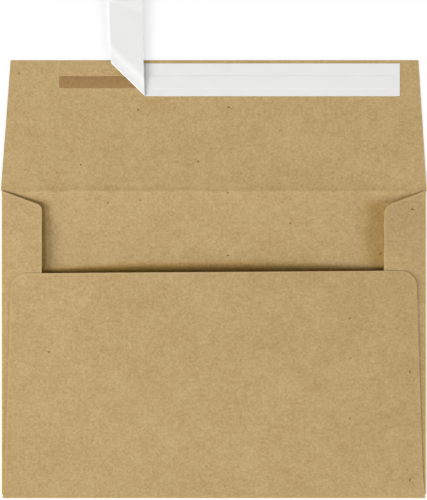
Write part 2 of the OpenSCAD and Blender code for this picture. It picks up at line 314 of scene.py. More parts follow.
class Finish(Graph):
    """A material with one Principled shader."""

    def __init__(self, name, **constants):
        self.material = bpy.data.materials.new(name)
        self.material.use_nodes = True
        super().__init__(self.material.node_tree)
        self.shader = next(n for n in self.tree.nodes if n.type == "BSDF_PRINCIPLED")
        for socket, value in constants.items():
            self.shader.inputs[socket.replace("_", " ")].default_value = value

    def feed(self, socket, wire):
        self.tree.links.new(wire.socket, self.shader.inputs[socket])

    def done(self, colour, roughness, height, distance, strength):
        """The material, with its colour, roughness and relief fed to the shader."""
        self.feed("Base Color", colour)
        self.feed("Roughness", roughness)
        links = {"Strength": strength, "Distance": distance, "Height": height}
        self.feed("Normal", self.node("ShaderNodeBump", None, links, "Normal"))
        return self.material

    def attribute(self, name, output="Fac"):
        return self.node("ShaderNodeAttribute", {"attribute_name": name}, None, output)

    def flecks(self, place, cell, length, width, share, offset=0.0):
        """Short straight fibres at random places and angles, in chosen cells of a Voronoi pattern."""
        shortest, full_length, full_width = 0.4, 0.3, 0.2
        moved = self.vector("ADD", place, tuple(offset * part for part in FLECK_SHIFT))
        cells = self.node(
            "ShaderNodeTexVoronoi", {"voronoi_dimensions": "2D"}, {"Scale": 1.0 / cell, "Vector": moved}
        )
        middle, draws = cells.outputs("Position", "Color")
        chosen, turn, size = self.node("ShaderNodeSeparateColor", None, {"Color": draws}).outputs(
            "Red", "Green", "Blue"
        )
        turn = turn * math.tau
        size = size * (1.0 - shortest) + shortest
        x, y, _ = self.split(self.vector("SUBTRACT", moved, middle))
        along = abs(x * turn.cos() + y * turn.sin()) / size
        across = abs(y * turn.cos() - x * turn.sin())
        body = self.step(along, length * 0.5, length * full_length)
        body = body * self.step(across, width * 0.5, width * full_width)
        return body * chosen.below(share)


def kraft_pattern(finish, place, colour):
    """Kraft pulp's colour and relief: soft clouding, a fine mottle, pale fibres and sparse dark flecks."""
    clouds = finish.noise(place, size=14 * MM, detail=3.0, roughness=0.55, offset=0.31)
    mottle = finish.noise(place, size=1.15 * MM, detail=3.0, roughness=0.6, offset=0.12)
    felt = finish.noise(place, size=3.0 * MM, detail=1.0, roughness=0.5, offset=0.83)
    grain = finish.noise(place, size=0.42 * MM, detail=2.0, roughness=0.6, offset=0.57)
    pale = finish.flecks(place, cell=1.5 * MM, length=1.7 * MM, width=0.16 * MM, share=0.45)
    brown = finish.flecks(place, cell=2.3 * MM, length=1.3 * MM, width=0.22 * MM, share=0.30, offset=0.4)
    dark = finish.flecks(place, cell=13 * MM, length=1.6 * MM, width=0.85 * MM, share=0.11, offset=0.8)
    tone = (clouds - 0.5) * 0.34 + (felt - 0.5) * 0.34 + (mottle - 0.5) * 0.92 + (grain - 0.5) * 0.58
    darkest, palest = toned(colour, 0.62), toned(colour, 1.38)
    pulp = finish.blend((tone + 0.5).clamped(), darkest, palest)
    for fibres, strength, factor in ((pale, 0.42, 1.34), (brown, 0.42, 0.62), (dark, 0.95, 0.3)):
        pulp = finish.blend(fibres * strength, pulp, toned(colour, factor))
    relief = mottle * 0.5 + grain * 0.35 + pale * 0.3 + brown * 0.2
    return pulp, relief


def painted_shade_tone(finish, colour, x, y, inside, sizes):
    """Paints warm shade on the inside: strongest where the bottom flap shades the throat, weaker under the
    side flaps and in the shadows of their free edges and sloped ends.
    """
    edge_x = 73.9 * MM
    left_reach, right_reach, soft = 5 * MM, 15 * MM, 1 * MM
    shade_top, shade_full = 66.5 * MM, 58 * MM
    throat_shade_arch, throat_shade_top, throat_shade_full = 4.6 * MM, 33.6 * MM, 32 * MM
    painted_shade_strength = 0.8

    # Painted shade: a warm, darker tone where the side flaps' free edges cast their shadows on the front
    # panel, and under the flaps
    shade = finish.step(-x, edge_x - left_reach, edge_x + soft)
    shade = shade.at_least(finish.step(x, edge_x - right_reach, edge_x))
    shade = shade * finish.step(y, shade_top, shade_full)
    # Painted shade along the shadow lines that the side flaps' sloped ends cast
    slope = math.tan(sizes.side_slope)
    flap_end = (abs(x) * slope + sizes.crease_y - sizes.side_fold_x * slope).at_most(sizes.crease_y)
    slope_shade = finish.step(abs(x), edge_x - soft, edge_x + soft) * finish.step(y, flap_end + soft, flap_end)
    # Painted shade where the bottom flap's edge shades the front panel inside the throat, reaching further
    # up in the middle, where the flap stands highest
    across = x / edge_x
    opening = (1.0 - across * across).at_least(0.0)
    throat_shade = finish.step(y, opening * throat_shade_arch + throat_shade_top, throat_shade_full)
    painted_flap_shade = shade.at_least(slope_shade) * inside * (1.0 - throat_shade) * painted_shade_strength
    colour = finish.blend(painted_flap_shade, colour, PAINTED_FLAP_SHADE_TONE, "MULTIPLY")
    return finish.blend(throat_shade * inside, colour, PAINTED_THROAT_SHADE_TONE, "MULTIPLY")


def sheet_finish(colours, sizes):
    fold_start, fold_end = 0.6 * MM, 1.6 * MM
    # The worn line's width; the painted edge highlight's width and full width, its strength, and where it
    # fades across the bottom flap
    worn_width, highlight_width, highlight_full_width = 0.30 * MM, 1.3 * MM, 0.2 * MM
    highlight_strength, bottom_highlight = 0.5, 0.8
    highlight_full_x, highlight_gone_x = -20 * MM, 60 * MM

    finish = Finish("kraft_paper_fibrous", Roughness=0.8)
    place = finish.attribute(PLACE, "Vector")
    gap, past_side, past_bottom = (finish.attribute(name) for name in (EDGE_GAP, PAST_SIDE, PAST_BOTTOM))
    colour, relief = kraft_pattern(finish, place, colours.kraft)
    outer = finish.step(past_side + past_bottom, fold_start, fold_end)
    colour = finish.blend(outer, colour, OUTER_TONE, "MULTIPLY")
    x, y, _ = finish.split(place)
    # Painted warm shade on the inside face, where the flaps cast their shadows
    colour = painted_shade_tone(finish, colour, x, y, finish.attribute(INSIDE) * (1.0 - outer), sizes)

    # Cut edges are paler: a thin worn line on all. The side flaps' edges and the bottom flap's also have a
    # wider painted highlight, as of light catching them from the left, which fades on the bottom flap
    # towards the right
    wear = finish.noise(place, size=2.5 * MM, detail=2.0, roughness=0.6, offset=0.9)
    worn = finish.step(gap, worn_width, 0.0) * (0.35 + wear * 0.5)
    bottom = outer * finish.step(x, highlight_gone_x, highlight_full_x) * bottom_highlight
    flaps = finish.step(past_side, fold_start, fold_end).at_least(bottom)
    edge_highlight = finish.step(gap, highlight_width, highlight_full_width) * highlight_strength * flaps
    colour = finish.blend(worn.at_least(edge_highlight), colour, toned(colours.kraft, 1.22))
    return finish.done(colour, 0.74 + relief * 0.12, relief, distance=0.035 * MM, strength=0.6)


def film_finish(colours):
    finish = Finish("adhesive_film_tacky", Roughness=0.4, Coat_Roughness=0.3)
    place = finish.node("ShaderNodeTexCoord", None, None, "Object")
    colour, relief = kraft_pattern(finish, place, colours.film)
    drawn_out = finish.vector("MULTIPLY", place, (0.2, 1.0, 1.0))
    streaks = finish.noise(drawn_out, size=1.2 * MM, detail=3.0, roughness=0.6, offset=0.2)
    colour = finish.blend(streaks * 0.3, colour, tinted(colours.film, 0.82))
    finish.feed("Coat Weight", 0.10 + streaks * 0.1)
    relief = relief + streaks * 0.6
    return finish.done(colour, 0.34 + streaks * 0.2, relief, distance=0.02 * MM, strength=0.4)


def liner_finish(colours):
    worn_width, worn_strength = 0.25 * MM, 0.6
    finish = Finish("release_liner_coated", Roughness=0.42)
    place = finish.attribute(PLACE, "Vector")
    clouds = finish.noise(place, size=9 * MM, detail=3.0, roughness=0.55, offset=0.2)
    tooth = finish.noise(place, size=0.6 * MM, detail=3.0, roughness=0.6, offset=0.5)
    tone = (0.5 + (clouds - 0.5) * 0.9 + (tooth - 0.5) * 0.5).clamped()
    colour = finish.blend(tone, tinted(colours.liner, 0.965), tinted(colours.liner, 1.03))
    worn = finish.step(finish.attribute(EDGE_GAP), worn_width, 0.0) * worn_strength
    colour = finish.blend(worn, colour, tinted(colours.liner, 1.06))
    relief = tooth * 0.6 + clouds * 0.4
    return finish.done(colour, 0.36 + clouds * 0.12, relief, distance=0.01 * MM, strength=0.35)


def gum_finish(colours):
    finish = Finish("seam_gum_dry", Roughness=0.6)
    place = finish.node("ShaderNodeTexCoord", None, None, "Object")
    beads = finish.noise(place, size=1.4 * MM, detail=3.0, roughness=0.6, offset=0.3)
    flow = finish.noise(place, size=7 * MM, detail=2.0, roughness=0.5, offset=0.6)
    tone = (beads * 0.6 + flow * 0.4).clamped()
    colour = finish.blend(tone, tinted(colours.gum, 0.78), tinted(colours.gum, 1.1))
    return finish.done(colour, 0.42 + beads * 0.3, beads, distance=0.02 * MM, strength=0.5)


def floor_finish(colour, kept):
    """A floor that the camera sees white, with the given share of its real light and shade left in."""
    finish = Finish("stage_floor", Base_Color=tinted(colour, 1.0), Roughness=0.9, Specular_IOR_Level=0.1)
    glow = finish.node("ShaderNodeEmission", None, {"Color": WHITE, "Strength": FLOOR_GLOW})
    lit = Wire(finish, finish.shader.outputs[0])
    mix = finish.node("ShaderNodeMixShader", None, {0: finish.seen() * (1.0 - kept), 1: lit, 2: glow})
    surface = next(n for n in finish.tree.nodes if n.type == "OUTPUT_MATERIAL").inputs["Surface"]
    finish.tree.links.new(mix.socket, surface)
    return finish.material


# Flat cuts


class Cut:
    """A flat cut of paper: points, quads between rows of points, and named numbers at the points."""

    def __init__(self, *names):
        self.points = []
        self.quads = []
        self.numbers = {name: [] for name in names}

    def point(self, x, y, **numbers):
        self.points.append((x, y, 0.0))
        for name, values in self.numbers.items():
            values.append(numbers.get(name, 0.0))
        return len(self.points) - 1

    def patch(self, rows):
        """Quads between rows of point numbers. Rows go up and points go right, so faces look up."""
        for low, high in zip(rows, rows[1:]):
            for left in range(len(low) - 1):
                self.quads.append((low[left], low[left + 1], high[left + 1], high[left]))

    def piece(self, name):
        mesh = bpy.data.meshes.new(name)
        mesh.from_pydata(self.points, [], self.quads)
        for number, values in self.numbers.items():
            mesh.attributes.new(number, "FLOAT", "POINT").data.foreach_set("value", values)
        return linked(name, mesh)


def spread(first, last, step):
    """Evenly spaced numbers from first to last, no further apart than step."""
    count = max(1, math.ceil(abs(last - first) / step))
    return [first + (last - first) * k / count for k in range(count + 1)]


def mixed(first, second, share):
    return first + (second - first) * share


def line_at(points, y):
    """x at height y on the line through points of rising y."""
    for (x0, y0), (x1, y1) in zip(points, points[1:]):
        if y <= y1:
            break
    return mixed(x0, x1, (y - y0) / (y1 - y0))


def corner_arc(before, corner, after, radius, count):
    """Points of the arc that rounds a corner, from the side of `before` to the side of `after`."""
    before, corner, after = Vector(before), Vector(corner), Vector(after)
    back, on = (before - corner).normalized(), (after - corner).normalized()
    half = back.angle(on) / 2
    centre = corner + (back + on).normalized() * radius / math.sin(half)
    start = corner + back * radius / math.tan(half) - centre
    sweep = start.angle_signed(corner + on * radius / math.tan(half) - centre)
    turned = []
    for k in range(count + 1):
        sin, cos = math.sin(-sweep * k / count), math.cos(-sweep * k / count)
        turned.append((centre.x + start.x * cos - start.y * sin, centre.y + start.x * sin + start.y * cos))
    return turned


def bottom_flap_outlines(s):
    """The bottom flap's left and right sides, from its fold to its flare to its throat corner."""
    low = [(s.side_fold_x, s.bottom_fold_y), (s.flare_half, s.bottom_fold_y + s.flare_length)]
    return {-1: low + [(s.throat_half, s.throat_left_y)], 1: low + [(s.throat_half, s.throat_right_y)]}


def bottom_flap_columns(s, outlines):
    """Columns of the bottom flap as [share of its half width, height of its upper end]."""
    sides = {}
    for hand, outline in outlines.items():
        flare, corner = outline[1:]
        throat_y, other_y = corner[1], outlines[-hand][-1][1]
        arc = corner_arc(flare, corner, (-s.throat_half, other_y), s.throat_corner, THROAT_ARC)
        columns = [(x / line_at(outline, y), y) for x, y in arc]
        inner, inner_y = columns[-1]
        middle_y = (throat_y + other_y) / 2
        flat = spread(inner, 0.0, THROAT_STEP / s.side_fold_x)[1:]
        columns += [(share, mixed(middle_y, inner_y, share / inner)) for share in flat]
        sides[hand] = [(hand * share, y) for share, y in columns]
    return sides[-1] + sides[1][-2::-1]


def side_flap_columns(s, width, radius):
    """Columns of a side flap, from its fold to its free edge, as [x inside, lower end, upper end]."""
    inner_x = width - s.side_fold_inset
    low, high = s.side_fold_low_y, s.crease_y
    slope = math.tan(s.side_slope)
    drop = inner_x * slope
    lower = corner_arc((0.0, low), (inner_x, low + drop), (inner_x, high - drop), radius, SIDE_ARC)
    upper = corner_arc((0.0, high), (inner_x, high - drop), (inner_x, low + drop), radius, SIDE_ARC)
    straight = spread(0.0, lower[0][0], SHEET_STEP)[1:-1]
    columns = [(x, low + x * slope, high - x * slope) for x in straight]
    return columns + [(x, y, upper[k][1]) for k, (x, y) in enumerate(lower)]


def cut_blank(s):
    """The whole envelope, flat as it is die-cut: front panel, two side flaps, bottom flap, closing flap."""
    cut = Cut(PAST_SIDE, PAST_BOTTOM)
    outlines = bottom_flap_outlines(s)
    columns = bottom_flap_columns(s, outlines)
    front_x = [share * s.side_fold_x for share, _ in columns]

    # Front panel, with a row where the side folds start
    score_low, score_top = s.crease_y - s.score_width / 2, s.crease_y + s.score_width / 2
    front_y = [s.bottom_fold_y] + spread(s.side_fold_low_y, score_low, SHEET_STEP)
    front_y += spread(score_low, s.crease_y, SCORE_STEP)[1:]
    front = [[cut.point(x, y) for x in front_x] for y in front_y]
    cut.patch(front)

    # Closing flap: the score line's rows, then its own, which narrow towards the tip
    flap_y = spread(s.crease_y, score_top, SCORE_STEP)
    flap_y += spread(score_top, s.flap_tip_y - SHEET_RIM, SHEET_STEP)[1:] + [s.flap_tip_y]
    flap = []
    for y in flap_y[1:]:
        share = max(0.0, y - score_top) / (s.flap_tip_y - score_top)
        row = []
        for x in [-s.flap_root_x] + front_x + [s.flap_root_x]:
            taper = s.taper_left if x < 0 else s.taper_right
            row.append(cut.point(x * (1 - taper * share / s.flap_root_x), y))
        flap.append(row)
    root = [cut.point(-s.flap_root_x, s.crease_y)] + front[-1] + [cut.point(s.flap_root_x, s.crease_y)]
    cut.patch([root] + flap)

    # Side flaps, each beyond its fold
    fold_run = math.pi * s.side_fold_radius
    fold_steps = [fold_run * k / FOLD_ROWS for k in range(1, FOLD_ROWS + 1)]
    left, right = (s.side_left_width, s.side_left_corner), (s.side_right_width, s.side_right_corner)
    for hand, (width, corner) in ((-1, left), (1, right)):
        flap_columns = side_flap_columns(s, width, corner)
        leaf = []
        for row, y in zip(front[1:], front_y[1:]):
            share = (y - s.side_fold_low_y) / (s.crease_y - s.side_fold_low_y)
            spots = [(past, y) for past in fold_steps]
            spots += [(fold_run + inside, mixed(low, high, share)) for inside, low, high in flap_columns]
            line = [row[0 if hand < 0 else -1]]
            for past, at in spots:
                line.append(cut.point(hand * (s.side_fold_x + past), at, **{PAST_SIDE: past}))
            leaf.append(line[::hand])
        cut.patch(leaf)

    # Bottom flap, beyond its fold
    fold_run = math.pi * s.bottom_fold_radius
    rows = [front[0]]
    for k in range(1, FOLD_ROWS + 1):
        past = fold_run * k / FOLD_ROWS
        rows.append([cut.point(x, s.bottom_fold_y - past, **{PAST_BOTTOM: past}) for x in front_x])
    side_top = (columns[0][1] + columns[-1][1]) / 2
    flare_share = s.flare_length / (side_top - s.bottom_fold_y)
    last_share = 1 - SHEET_RIM / (s.throat_left_y - s.bottom_fold_y)
    shares = spread(0.0, flare_share, FLARE_SHARE_STEP)[1:]
    shares += spread(flare_share, last_share, FLAP_SHARE_STEP)[1:] + [1.0]
    for share in shares:
        row = []
        for place, top in columns:
            y = mixed(s.bottom_fold_y, top, share)
            x = place * line_at(outlines[-1 if place < 0 else 1], y)
            past = fold_run + y - s.bottom_fold_y
            row.append(cut.point(x, s.bottom_fold_y - past, **{PAST_BOTTOM: past}))
        rows.append(row)
    cut.patch(rows[::-1])
    return cut.piece("envelope_paper")


def picked(group, names, **others):
    """The named sizes of a property group, and others that are worked out from them."""
    return {**{name: getattr(group, name) for name in names.split()}, **others}


def fold_sheet_tree(s, material):
    """Folds the flat blank: half turns past each fold, the raised score, and the sprung back."""
    tree = Folding("Fold Envelope", picked(
        s,
        "side_fold_x side_fold_radius bottom_fold_y bottom_fold_radius paper pocket_lift pocket_relax"
        " fullness throat_phase throat_right_y crease_y crease_spring spring_reach_in spring_reach_out"
        " score_width score_height edge_curl edge_curl_reach right_spring side_right_width",
        throat_y=(s.throat_left_y + s.throat_right_y) / 2,
    ))
    kept, gap = tree.measured()
    x, y, _ = tree.split(tree.place)
    past_side, past_bottom = tree.attribute(PAST_SIDE), tree.attribute(PAST_BOTTOM)
    given = tree.given
    crease_y, throat_y = given.crease_y, given.throat_y
    side_radius, bottom_radius = given.side_fold_radius, given.bottom_fold_radius
    side_turn = (past_side / side_radius).at_most(math.pi)
    bottom_turn = (past_bottom / bottom_radius).at_most(math.pi)
    side_run = (past_side - side_radius * math.pi).at_least(0.0)
    bottom_run = (past_bottom - bottom_radius * math.pi).at_least(0.0)
    new_x = x.sign() * (abs(x) - past_side + side_radius * side_turn.sin() - side_run)
    new_y = y + past_bottom - bottom_radius * bottom_turn.sin() + bottom_run

    # The sprung back: an arch from side to side, which rises towards the throat and relaxes past it
    side_half = (1.0 - side_turn.cos()) * 0.5
    bottom_half = (1.0 - bottom_turn.cos()) * 0.5
    front = 1.0 - side_half - bottom_half
    reach = (abs(new_x) / given.side_fold_x).at_most(1.0)
    arch = 1.0 - reach ** given.fullness
    phase = given.throat_phase
    along = (new_y - given.bottom_fold_y) / (throat_y - given.bottom_fold_y)
    climb = (phase * along.at_least(0.0)).sin() / phase.sin()
    relaxed = 1.0 - given.pocket_relax * tree.step(new_y, throat_y, crease_y)
    lift = given.pocket_lift * arch * climb * relaxed * (side_half + bottom_half)

    # The crease: a low ridge across the front panel and the closing flap, with the score line on its top.
    # The hair's breadth counts the crease itself as part of the closing flap
    hair, flatness = 1e-7, 4.0
    inside = (1.0 - (crease_y - new_y) / given.spring_reach_in).clamped() * new_y.below(crease_y)
    outside = (1.0 - (new_y - crease_y) / given.spring_reach_out).clamped() * new_y.above(crease_y - hair)
    ridge = inside.at_least(outside)
    edge = (x / given.side_fold_x).at_most(1.0).at_least(-1.0)
    spring = given.crease_spring * ridge * ridge * (1.0 - edge ** flatness) * front
    offset = (new_y - crease_y) * 2.0 / given.score_width
    score = given.score_height * (1.0 - offset * offset).at_least(0.0) * front

    # The bottom flap's free side edges stand a little off the side flaps, most at the throat's corners
    curl_low, curl_high, curl_share, edge_power = 14 * MM, 3 * MM, 0.4, 6.0
    loose = (1.0 - gap / given.edge_curl_reach).clamped()
    corner = tree.step(new_y, throat_y - curl_low, throat_y - curl_high)
    curl = given.edge_curl * loose * loose * bottom_half * reach ** edge_power
    curl = curl * (curl_share + corner * (1.0 - curl_share))

    # The right side flap's free edge springs further up where the bottom flap doesn't hold it down
    free_above, free_power = 10 * MM, 1.3
    free = (past_side / given.side_right_width).clamped()
    held = tree.step(new_y, given.throat_right_y + free_above, given.throat_right_y)
    flick = given.right_spring * free ** free_power * (1.0 - held) * x.above(0.0)

    height = (given.paper * 0.5 + side_radius * side_half * 2.0 + bottom_radius * bottom_half * 2.0
              + lift + spring + score + curl + flick)
    return tree.close(tree.move(kept, Position=tree.join(new_x, new_y, height)), material)


def cut_liner(s):
    """The straight liner, flat: x runs along it from the fold's middle towards the tail's tip."""
    cut = Cut()
    half = s.width / 2
    film_low, film_high = FILM_LOW.y - s.middle_y, FILM_HIGH.y - s.middle_y
    film_end = s.fold_x - FILM_HIGH.x
    across = sorted(
        spread(-half + LINER_RIM, film_low - CLEAR_OUT, LINER_STEP)
        + spread(film_low - RELIEF_OUT, film_low + RELIEF_IN, RELIEF_STEP)
        + spread(film_low + CLEAR_IN, film_high - CLEAR_IN, LINER_STEP)
        + spread(film_high - RELIEF_IN, film_high + RELIEF_OUT, RELIEF_STEP)
        + spread(film_high + CLEAR_OUT, half - LINER_RIM, LINER_STEP) + [-half, half]
    )
    fold_start = s.fold_radius + s.thickness / 2
    fold_run, curl_run = math.pi * s.fold_radius, s.curl_radius * s.rise
    level_run = s.level_radius * (s.rise - s.end_rise)
    right_end = s.tail - s.length
    fold_slope = 1 / math.tan(s.fold_angle)

    def ruling(path):
        """Where a bend's line crosses the strip's middle, from how far past the fold's start it lies."""
        return (path - fold_start) / math.sin(s.fold_angle)

    # Each line across the strip, as [place on its middle, slope]: square at the right end, along the bends
    # at the fold and the curl, then turning to the crease of the bent corner
    end_far, end_near, end_step, flat_gap, fold_gap = 1.2 * MM, 0.5 * MM, 0.7 * MM, 1.5 * MM, 1.2 * MM
    square_until = -1.2
    square = [right_end, right_end + LINER_RIM]
    square += spread(film_end - end_far, film_end - end_near, end_step)
    square += spread(film_end - RELIEF_OUT, film_end + RELIEF_IN, RELIEF_STEP)
    lines = [(place, 0.0) for place in square]
    flat = spread(film_end + flat_gap, ruling(0.0) - fold_gap, FLAT_STEP)
    for k, place in enumerate(flat):
        lines.append((place, fold_slope * max(0.0, mixed(square_until, 1.0, k / (len(flat) - 1)))))
    bends = spread(0.0, fold_run, fold_run / FOLD_LINES)
    bends += spread(fold_run, fold_run + curl_run, curl_run / CURL_LINES)[1:]
    bends += spread(fold_run + curl_run, fold_run + curl_run + level_run, level_run / LEVEL_LINES)[1:]
    lines += [(ruling(path), fold_slope) for path in bends]
    crease_slope = s.corner_length / s.width
    crease_middle = s.tail - s.corner_length / 2
    straight = spread(ruling(bends[-1]), crease_middle, TAIL_STEP)
    turns = [mixed(fold_slope, crease_slope, k / (len(straight) - 1)) for k in range(len(straight))]
    lines += list(zip(straight, turns))[1:]
    rows = [[(place + slope * y, y) for y in across] for place, slope in lines]
    crease = rows[-1]
    for k in range(1, CORNER_LINES + 1):
        rows.append([(mixed(x, s.tail, k / CORNER_LINES), y) for x, y in crease])
    # The strip's x runs to the left in the frame, so its rows are read backwards to keep faces looking up
    numbered = [[cut.point(x, y) for x, y in row] for row in rows]
    cut.patch([list(column)[::-1] for column in zip(*numbered)][::-1])
    return cut.piece("liner_strip")


def fold_liner_tree(s, material):
    """Bends the flat liner about lines at nearly 45 degrees: its fold, curl, levelling and corner."""
    tree = Folding("Peel Liner", picked(
        s,
        "fold_x middle_y middle_z fold_angle fold_radius curl_radius rise level_radius end_rise tail"
        " corner_length corner_bend corner_radius film_step",
        fold_start=s.fold_radius + s.thickness / 2,
        half_width=s.width / 2,
        film_low=FILM_LOW.y - s.middle_y,
        film_high=FILM_HIGH.y - s.middle_y,
        film_end=s.fold_x - FILM_HIGH.x,
    ))
    weld = 0.001 * MM
    kept, _ = tree.measured()

    # Distances run across the fold line and along it
    along, across, _ = tree.split(tree.place)
    given = tree.given
    lean_sin, lean_cos = given.fold_angle.sin(), given.fold_angle.cos()
    path = given.fold_start + along * lean_sin - across * lean_cos
    slide = along * lean_cos + across * lean_sin
    radius, curl_radius, level_radius = given.fold_radius, given.curl_radius, given.level_radius
    rise, end_rise = given.rise, given.end_rise
    turn = (path / radius).at_least(0.0).at_most(math.pi)
    past_fold = path - radius * math.pi
    curl = (past_fold / curl_radius).at_least(0.0).at_most(rise)
    past_curl = past_fold - curl_radius * rise
    fall = (past_curl / level_radius).at_least(0.0).at_most(rise - end_rise)
    tilt = curl - fall
    past_level = (past_curl - level_radius * (rise - end_rise)).at_least(0.0)
    outward = (given.fold_start - path.at_most(0.0) - radius * turn.sin() + curl_radius * curl.sin()
               + level_radius * (curl.sin() - tilt.sin()) + past_level * tilt.cos())
    height = (radius * (1.0 - turn.cos()) + curl_radius * (1.0 - curl.cos())
              + level_radius * (tilt.cos() - curl.cos()) + past_level * tilt.sin())

    # The step down past the adhesive's edges, on the part that lies flat and clear of the fold
    fold_near, fold_clear = -0.5 * MM, -5 * MM
    stepped = tree.step(across, given.film_low, given.film_low - RELIEF_WIDTH)
    stepped = stepped.at_least(tree.step(across, given.film_high, given.film_high + RELIEF_WIDTH))
    stepped = stepped.at_least(tree.step(along, given.film_end, given.film_end - RELIEF_WIDTH))
    stepped = stepped * tree.step(path, fold_near, fold_clear) * given.film_step

    # The bent corner: a turn about its crease, in the tail's own plane
    crease = tree.vector("NORMALIZE", tree.join(given.half_width * 2.0, -given.corner_length, 0.0))
    crease_along, crease_across, _ = tree.split(crease)
    beyond = (along - given.tail) * crease_along + (across - given.half_width) * crease_across
    beyond = beyond.at_least(0.0)
    bend_radius, bend = given.corner_radius, given.corner_bend
    corner_turn = (beyond / bend_radius).at_most(bend)
    corner_run = (beyond - bend_radius * bend).at_least(0.0)
    forward = bend_radius * corner_turn.sin() + corner_run * corner_turn.cos() - beyond
    lifted = bend_radius * (1.0 - corner_turn.cos()) + corner_run * corner_turn.sin()
    outward_share = (crease_along * lean_sin - crease_across * lean_cos) * forward
    slide = slide + (crease_along * lean_cos + crease_across * lean_sin) * forward
    outward = outward + outward_share * tilt.cos() - lifted * tilt.sin()
    height = height + outward_share * tilt.sin() + lifted * tilt.cos()

    bent = tree.move(kept, Position=tree.join(
        given.fold_x + outward * lean_sin - slide * lean_cos,
        given.middle_y + outward * lean_cos + slide * lean_sin,
        given.middle_z + height - stepped,
    ))
    merged = tree.node("GeometryNodeMergeByDistance", None, {"Geometry": bent, "Distance": weld})
    return tree.close(merged, material)


def film_tree(s, material):
    """Lays the adhesive: a flat bead with round edges along a straight path, its edges a little uneven."""
    path_points, round_steps, wander_size = 220, 4, 1.6 * MM
    tree = Folding("Lay Adhesive", picked(
        s,
        "width thickness edge_round unevenness",
        left_x=FILM_LOW.x, right_x=FILM_HIGH.x, middle_y=(FILM_LOW.y + FILM_HIGH.y) / 2, base_z=FILM_LOW.z,
    ))
    given = tree.given
    middle_z = given.base_z + given.thickness * 0.5
    start, end = (tree.join(x, given.middle_y, middle_z) for x in (given.left_x, given.right_x))
    path = tree.node("GeometryNodeCurvePrimitiveLine", {"mode": "POINTS"}, {"Start": start, "End": end})
    path = tree.node("GeometryNodeResampleCurve", {"mode": "COUNT"}, {"Curve": path, "Count": path_points})
    profile = tree.node("GeometryNodeCurvePrimitiveQuadrilateral", {"mode": "RECTANGLE"}, {
        "Width": given.width, "Height": given.thickness,
    })
    profile = tree.node("GeometryNodeFilletCurve", {"mode": "POLY"}, {
        "Curve": profile, "Count": round_steps, "Radius": given.edge_round, "Limit Radius": True,
    })
    bead = tree.node("GeometryNodeCurveToMesh", None, {
        "Curve": path, "Profile Curve": profile, "Fill Caps": True,
    })
    wander = tree.noise(tree.place, size=wander_size, detail=2.0, roughness=0.6)
    _, y, _ = tree.split(tree.place)
    share = (y - given.middle_y) / given.width * 2.0
    shift = (wander - 0.5) * share * given.unevenness
    return tree.close(tree.move(bead, Offset=tree.join(0.0, shift, 0.0)), material)


# Finished pieces


def settled(piece):
    """The piece with its modifiers turned into a plain mesh, smooth but for its cut edges."""
    graph = bpy.context.evaluated_depsgraph_get()
    done = piece.evaluated_get(graph)
    mesh = bpy.data.meshes.new_from_object(done, preserve_all_data_layers=True, depsgraph=graph)
    piece.modifiers.clear()
    piece.data = mesh
    mesh.name = piece.name
    mesh.shade_smooth()
    mesh.set_sharp_from_angle(angle=SHARP_ANGLE)
    return piece


def thicken(piece, thickness):
    wall = piece.modifiers.new("Paper thickness", "SOLIDIFY")
    wall.thickness = thickness
    wall.offset = 0.0
    wall.use_even_offset = True
    wall.use_rim = True


def mark_inside(piece):
    """Tells the sheet's upper faces from its lower ones, so that only the inside takes its warm tone."""
    facing = [1.0 if vertex.normal.z > 0.0 else 0.0 for vertex in piece.data.vertices]
    piece.data.attributes.new(INSIDE, "FLOAT", "POINT").data.foreach_set("value", facing)
    return piece


def hand_over(piece, slot, *nodes):
    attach(piece, "root")
    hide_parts(*nodes)


# Sizes and colours that a user would change


def length(name, description, default, low=0.0):
    return FloatProperty(name=name, description=description, default=default, min=low, precision=5,
                         subtype="DISTANCE", unit="LENGTH")


def angle(name, description, degrees):
    return FloatProperty(name=name, description=description, default=math.radians(degrees),
                         subtype="ANGLE", unit="ROTATION")


def number(name, description, default, low=0.0, **limits):
    return FloatProperty(name=name, description=description, default=default, min=low, **limits)


def tint(name, description, default):
    return FloatVectorProperty(name=name, description=description, default=default, size=3,
                               min=0.0, max=1.0, subtype="COLOR")


